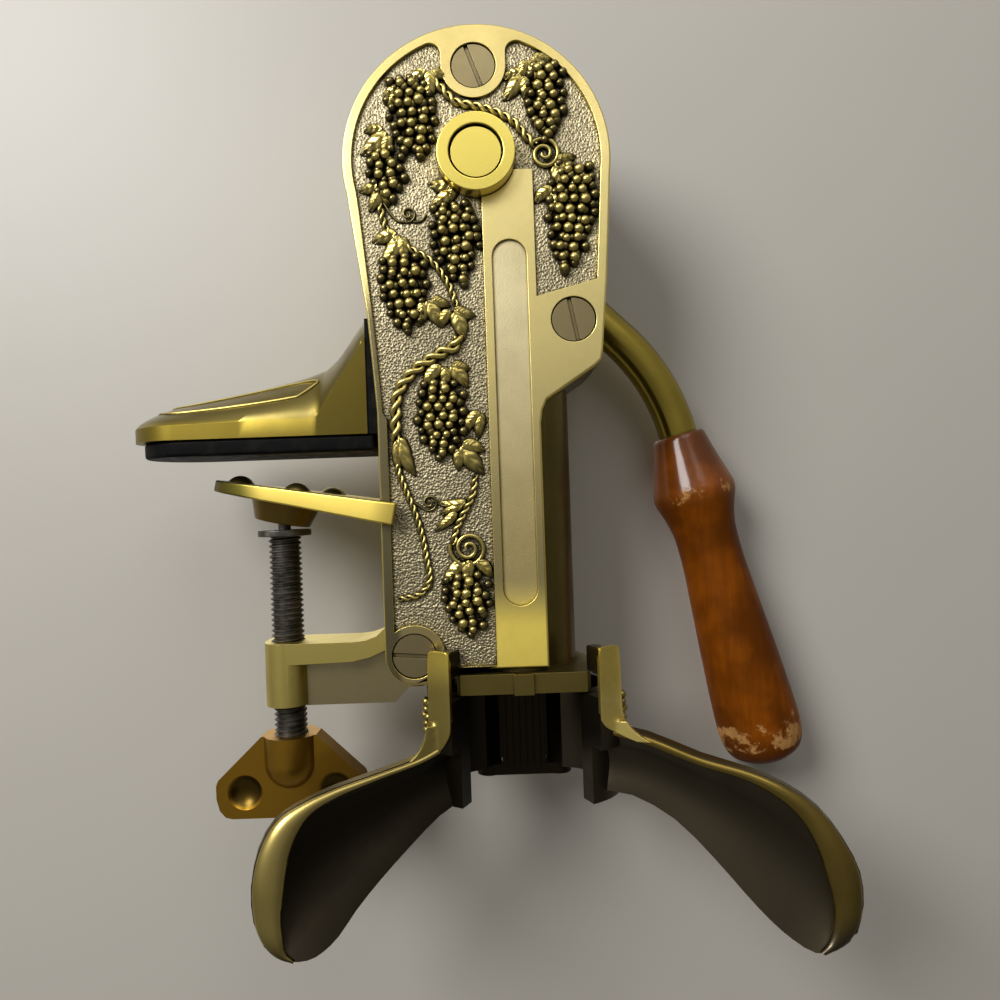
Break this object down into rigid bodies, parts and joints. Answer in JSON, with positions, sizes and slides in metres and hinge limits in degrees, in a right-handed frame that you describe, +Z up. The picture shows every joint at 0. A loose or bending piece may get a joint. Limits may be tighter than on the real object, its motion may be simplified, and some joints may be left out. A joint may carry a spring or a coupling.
{
  "type": "countertop corkscrew",
  "caption": "Antique-finish brass countertop corkscrew that clamps to a bar edge, with a wooden side lever, a geared worm drive and hinged jaws that hold the bottle neck.",
  "frame": {"origin": "centre of the clamp pad's lower face, where it rests on the counter", "axes": "+Z up along the tube, relief face towards -Y, clamp towards -X and lever towards +X"},
  "size_m": [0.2363, 0.0898, 0.2907],
  "materials": {
    "cast_brass": "antique cast, darkened in the hollows and polished on the high parts",
    "bright_brass": "polished",
    "steel": "dull",
    "black_rubber": "matt",
    "wood": "varnished, worn pale in places"
  },
  "bodies": {
    "frame": {"rear_housing": "cast_brass", "front_cover": "cast_brass", "cover_screws": "steel", "axle_ring": "bright_brass", "rear_bush": "steel", "idler_shaft": "steel", "neck_collar": "cast_brass", "jaw_pins": "steel", "clamp_foot": "cast_brass", "foot_gasket": "black_rubber", "foot_bolts": "steel", "clamp_pad": "black_rubber"},
    "lever": {"lever_axle": "steel", "drive_gear": "steel", "gear_key": "steel", "lever_arm": "bright_brass", "hub_nut": "steel", "lever_grip": "wood"},
    "idler": {"idler_gear": "steel"},
    "carriage_slide_body": {"carriage": "bright_brass", "rack_bar": "steel", "rack_pin": "steel"},
    "worm_body": {"worm": "steel", "worm_collar": "steel"},
    "nut": {"guide_nut": "bright_brass"},
    "jaw_left": {"left_jaw": "cast_brass"},
    "jaw_right": {"right_jaw": "cast_brass"},
    "clamp_slide": {"thrust_washer": "steel"},
    "clamp_screw_body": {"clamp_screw": "steel", "wing_knob": "cast_brass", "knob_pin": "steel"},
    "plate": {"swivel_cup": "cast_brass", "pressure_plate": "cast_brass", "plate_rivets": "cast_brass"}
  },
  "joints": [
    {"name": "lever_swing", "type": "hinge", "parent": "frame", "child": "lever", "pos_m": [0.077, 0, 0.093], "axis": [0, -1, 0], "range_deg": [0, 180]},
    {"name": "idler_spin", "type": "hinge", "parent": "frame", "child": "idler", "pos_m": [0.077, 0, 0.059], "axis": [0, -1, 0], "range_deg": [-257.2, 0]},
    {"name": "carriage_slide", "type": "slide", "parent": "frame", "child": "carriage_slide_body", "axis": [0, 0, -1], "range_m": [0, 0.05387]},
    {"name": "worm_spin", "type": "hinge", "parent": "carriage_slide_body", "child": "worm_body", "pos_m": [0.0866, 0, 0.008], "axis": [0, 0, -1], "range_deg": [0, 2160.5]},
    {"name": "nut_slide", "type": "slide", "parent": "frame", "child": "nut", "axis": [0, 0, -1], "range_m": [-0.0535, 0]},
    {"name": "left_jaw_swing", "type": "hinge", "parent": "frame", "child": "jaw_left", "pos_m": [0.0736, 0.022, -0.1], "axis": [0, 0, 1], "range_deg": [0, 26]},
    {"name": "right_jaw_swing", "type": "hinge", "parent": "frame", "child": "jaw_right", "pos_m": [0.0996, 0.022, -0.1], "axis": [0, 0, -1], "range_deg": [0, 26]},
    {"name": "clamp_travel", "type": "slide", "parent": "frame", "child": "clamp_slide", "axis": [0, 0, 1], "range_m": [-0.036, 0.0045]},
    {"name": "clamp_screw_turn", "type": "hinge", "parent": "clamp_slide", "child": "clamp_screw_body", "pos_m": [0.0056, 0, -0.072], "axis": [0, 0, 1], "range_deg": [-7140, 890]},
    {"name": "plate_tilt", "type": "hinge", "parent": "clamp_slide", "child": "plate", "pos_m": [0.0056, 0, -0.02], "axis": [0, 1, 0], "range_deg": [-8.9, 0]}
  ],
  "couplings": [
    {"joint": "idler_spin", "follows": "lever_swing", "ratio": -1.4286},
    {"joint": "carriage_slide", "follows": "lever_swing", "m_per_rad": 0.017143},
    {"joint": "worm_spin", "follows": "lever_swing", "ratio": 12},
    {"joint": "clamp_travel", "follows": "clamp_screw_turn", "m_per_rad": 0.00028871}
  ]
}
